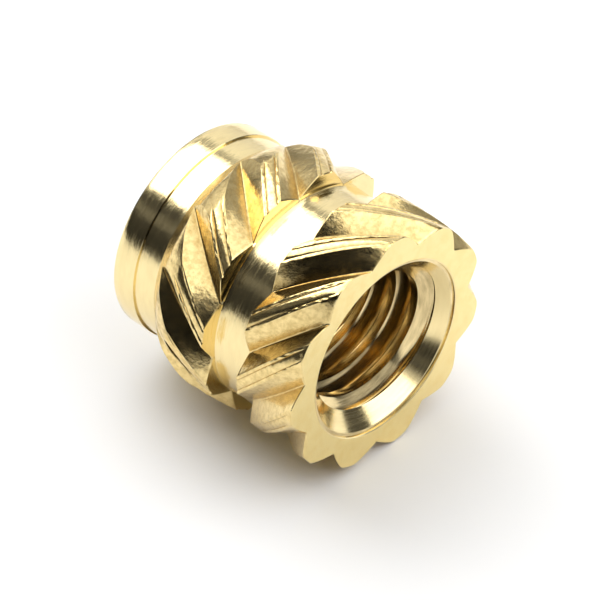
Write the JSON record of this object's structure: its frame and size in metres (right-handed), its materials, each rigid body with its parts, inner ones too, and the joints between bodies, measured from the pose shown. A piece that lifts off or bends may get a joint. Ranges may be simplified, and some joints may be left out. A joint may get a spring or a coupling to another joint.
{
  "type": "threaded insert",
  "caption": "Brass heat-set threaded insert with opposed helical toothed bands, a plain neck between them, a stepped pilot and a countersunk threaded hole.",
  "frame": {"origin": "centre of the pilot end's face, on the axis of the bore", "axes": "+Z along the bore, from the pilot end to the front face; +X through a groove of the front band at the front face"},
  "size_m": [0.0046, 0.0046, 0.0045],
  "materials": {
    "brass": "bright turned brass, brushed on the plain bands"
  },
  "bodies": {
    "root": {"insert_body": "brass"}
  },
  "joints": []
}
